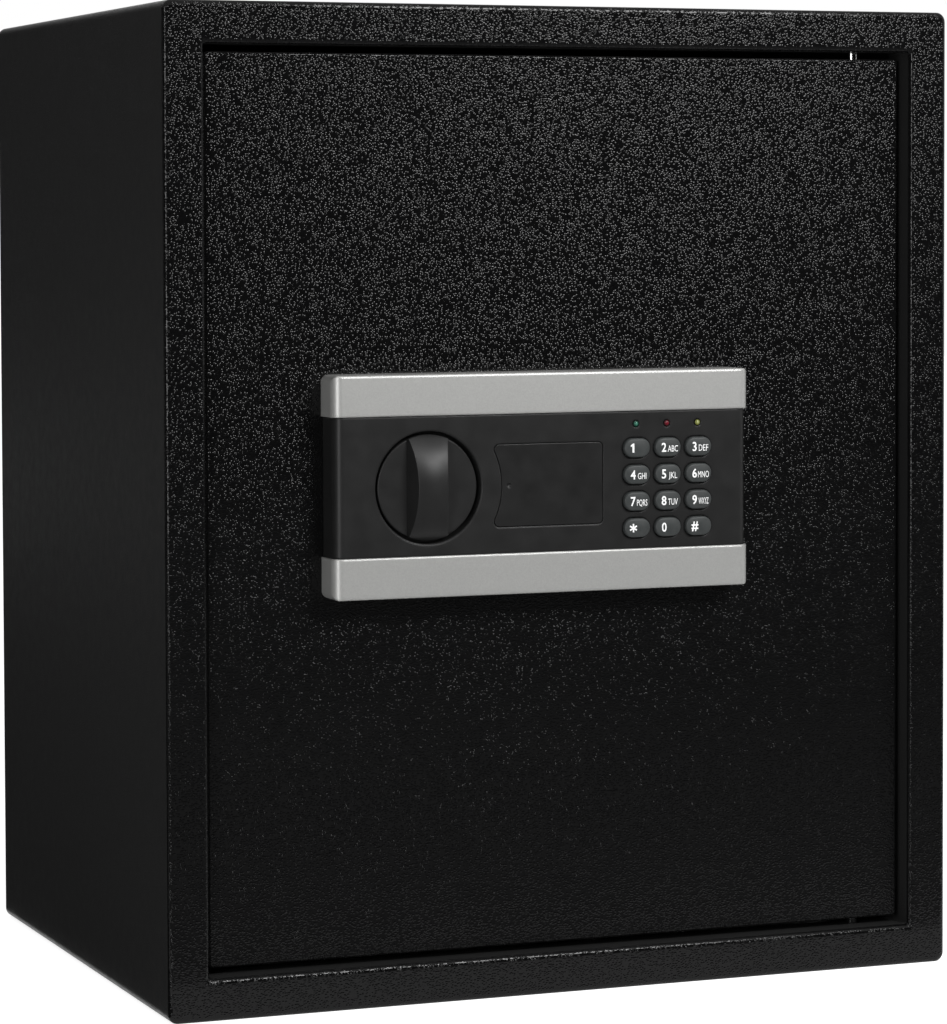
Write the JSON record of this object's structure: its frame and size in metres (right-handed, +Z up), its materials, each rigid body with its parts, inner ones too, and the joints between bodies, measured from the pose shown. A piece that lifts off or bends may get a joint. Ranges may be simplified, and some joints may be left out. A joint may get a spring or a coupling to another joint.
{
  "type": "electronic safe",
  "caption": "Steel floor safe with a recessed hinged door, keypad panel, thumb-turn knob that throws locking bolts, emergency key lock, shelf and anchor holes.",
  "frame": {"origin": "centre of the cabinet's underside, midway between its sides and between its frame face and back", "axes": "+Z up, -Y out of the front of the safe, +X to the right when facing the front"},
  "size_m": [0.35, 0.273, 0.41],
  "materials": {
    "cabinet_paint": "black pebble powder coat",
    "door_paint": "black pebble powder coat",
    "inner_paint": "black fine powder coat",
    "mat_felt": "grey needle felt",
    "zinc_steel": "zinc plated",
    "bright_steel": "ground and plated",
    "panel_plastic": "satin moulded",
    "cap_silver": "satin silver paint on moulded plastic",
    "cover_plastic": "satin moulded",
    "knob_plastic": "semi-gloss moulded",
    "key_plastic": "satin moulded",
    "mat_rubber": "silicone",
    "board_green": "solder mask",
    "lamp_green": "clear tinted",
    "lamp_red": "clear tinted",
    "lamp_yellow": "clear tinted",
    "brass": "turned",
    "coil_copper": "taped winding",
    "box_plastic": "fine texture",
    "cell_wrap": "plain sleeve",
    "reset_red": "moulded"
  },
  "bodies": {
    "cabinet": {"cabinet_shell": "cabinet_paint", "back_panel": "inner_paint", "front_frame": "cabinet_paint", "hinge_plates": "inner_paint", "floor_mat": "mat_felt", "shelf_brackets": "inner_paint"},
    "shelf": {"shelf": "inner_paint"},
    "door": {"door_plate": "door_paint", "door_rim": "inner_paint", "door_cover": "inner_paint", "cover_screws": "zinc_steel", "hinge_blocks": "inner_paint", "hinge_pins": "bright_steel", "panel_housing": "panel_plastic", "trim_top": "cap_silver", "trim_bottom": "cap_silver", "panel_screws": "zinc_steel", "keypad_mat": "mat_rubber", "circuit_board": "board_green", "led_green": "lamp_green", "led_red": "lamp_red", "led_yellow": "lamp_yellow", "lock_barrel": "bright_steel", "barrel_nut": "zinc_steel", "knob_bush": "brass", "bolt_guide": "zinc_steel", "guide_studs": "zinc_steel", "solenoid_frame": "zinc_steel", "solenoid_coil": "coil_copper", "plunger_spring": "zinc_steel", "battery_box": "box_plastic", "batteries": "cell_wrap", "reset_switch": "box_plastic"},
    "knob": {"knob": "knob_plastic", "knob_spindle": "zinc_steel", "crank": "zinc_steel"},
    "carriage": {"bolt_carriage": "zinc_steel", "bolts": "bright_steel", "bolt_screws": "zinc_steel"},
    "plunger": {"blocker_plunger": "bright_steel"},
    "plug": {"lock_plug": "brass", "lock_cam": "zinc_steel"},
    "keyhole_cover": {"keyhole_cover": "cover_plastic"},
    "battery_lid": {"battery_lid": "box_plastic"},
    "reset_button": {"reset_button": "reset_red"},
    "key_1": {"key_1": "key_plastic"},
    "key_2": {"key_2": "key_plastic"},
    "key_3": {"key_3": "key_plastic"},
    "key_4": {"key_4": "key_plastic"},
    "key_5": {"key_5": "key_plastic"},
    "key_6": {"key_6": "key_plastic"},
    "key_7": {"key_7": "key_plastic"},
    "key_8": {"key_8": "key_plastic"},
    "key_9": {"key_9": "key_plastic"},
    "key_star": {"key_star": "key_plastic"},
    "key_0": {"key_0": "key_plastic"},
    "key_hash": {"key_hash": "key_plastic"}
  },
  "joints": [
    {"name": "door_hinge", "type": "hinge", "parent": "cabinet", "child": "door", "pos_m": [0.1376, -0.115, 0.205], "axis": [0, 0, 1], "range_deg": [0, 105]},
    {"name": "shelf_lift", "type": "slide", "parent": "cabinet", "child": "shelf", "axis": [0, 0, 1], "range_m": [0, 0.02]},
    {"name": "knob_turn", "type": "hinge", "parent": "door", "child": "knob", "pos_m": [-0.0655, -0.1428, 0.2132], "axis": [0, -1, 0], "range_deg": [0, 90]},
    {"name": "bolt_throw", "type": "slide", "parent": "door", "child": "carriage", "axis": [-1, 0, 0], "range_m": [0, 0.016]},
    {"name": "plunger_slide", "type": "slide", "parent": "door", "child": "plunger", "axis": [0, 0, 1], "range_m": [0, 0.006], "deforming": ["plunger_spring"]},
    {"name": "plug_turn", "type": "hinge", "parent": "door", "child": "plug", "pos_m": [-0.012, -0.115, 0.2132], "axis": [0, -1, 0], "range_deg": [-90, 0]},
    {"name": "cover_pull", "type": "slide", "parent": "door", "child": "keyhole_cover", "axis": [0, -1, 0], "range_m": [0, 0.03]},
    {"name": "battery_lid_slide", "type": "slide", "parent": "door", "child": "battery_lid", "axis": [0, 0, 1], "range_m": [0, 0.06]},
    {"name": "reset_press", "type": "slide", "parent": "door", "child": "reset_button", "axis": [0, -1, 0], "range_m": [0, 0.0012], "stiffness_N_per_m": 1000},
    {"name": "key_1_press", "type": "slide", "parent": "door", "child": "key_1", "axis": [0, 1, 0], "range_m": [0, 0.001], "stiffness_N_per_m": 1000},
    {"name": "key_2_press", "type": "slide", "parent": "door", "child": "key_2", "axis": [0, 1, 0], "range_m": [0, 0.001], "stiffness_N_per_m": 1000},
    {"name": "key_3_press", "type": "slide", "parent": "door", "child": "key_3", "axis": [0, 1, 0], "range_m": [0, 0.001], "stiffness_N_per_m": 1000},
    {"name": "key_4_press", "type": "slide", "parent": "door", "child": "key_4", "axis": [0, 1, 0], "range_m": [0, 0.001], "stiffness_N_per_m": 1000},
    {"name": "key_5_press", "type": "slide", "parent": "door", "child": "key_5", "axis": [0, 1, 0], "range_m": [0, 0.001], "stiffness_N_per_m": 1000},
    {"name": "key_6_press", "type": "slide", "parent": "door", "child": "key_6", "axis": [0, 1, 0], "range_m": [0, 0.001], "stiffness_N_per_m": 1000},
    {"name": "key_7_press", "type": "slide", "parent": "door", "child": "key_7", "axis": [0, 1, 0], "range_m": [0, 0.001], "stiffness_N_per_m": 1000},
    {"name": "key_8_press", "type": "slide", "parent": "door", "child": "key_8", "axis": [0, 1, 0], "range_m": [0, 0.001], "stiffness_N_per_m": 1000},
    {"name": "key_9_press", "type": "slide", "parent": "door", "child": "key_9", "axis": [0, 1, 0], "range_m": [0, 0.001], "stiffness_N_per_m": 1000},
    {"name": "key_star_press", "type": "slide", "parent": "door", "child": "key_star", "axis": [0, 1, 0], "range_m": [0, 0.001], "stiffness_N_per_m": 1000},
    {"name": "key_0_press", "type": "slide", "parent": "door", "child": "key_0", "axis": [0, 1, 0], "range_m": [0, 0.001], "stiffness_N_per_m": 1000},
    {"name": "key_hash_press", "type": "slide", "parent": "door", "child": "key_hash", "axis": [0, 1, 0], "range_m": [0, 0.001], "stiffness_N_per_m": 1000}
  ],
  "couplings": [
    {"joint": "knob_turn", "follows": "bolt_throw", "rad_per_m": 98.174}
  ]
}
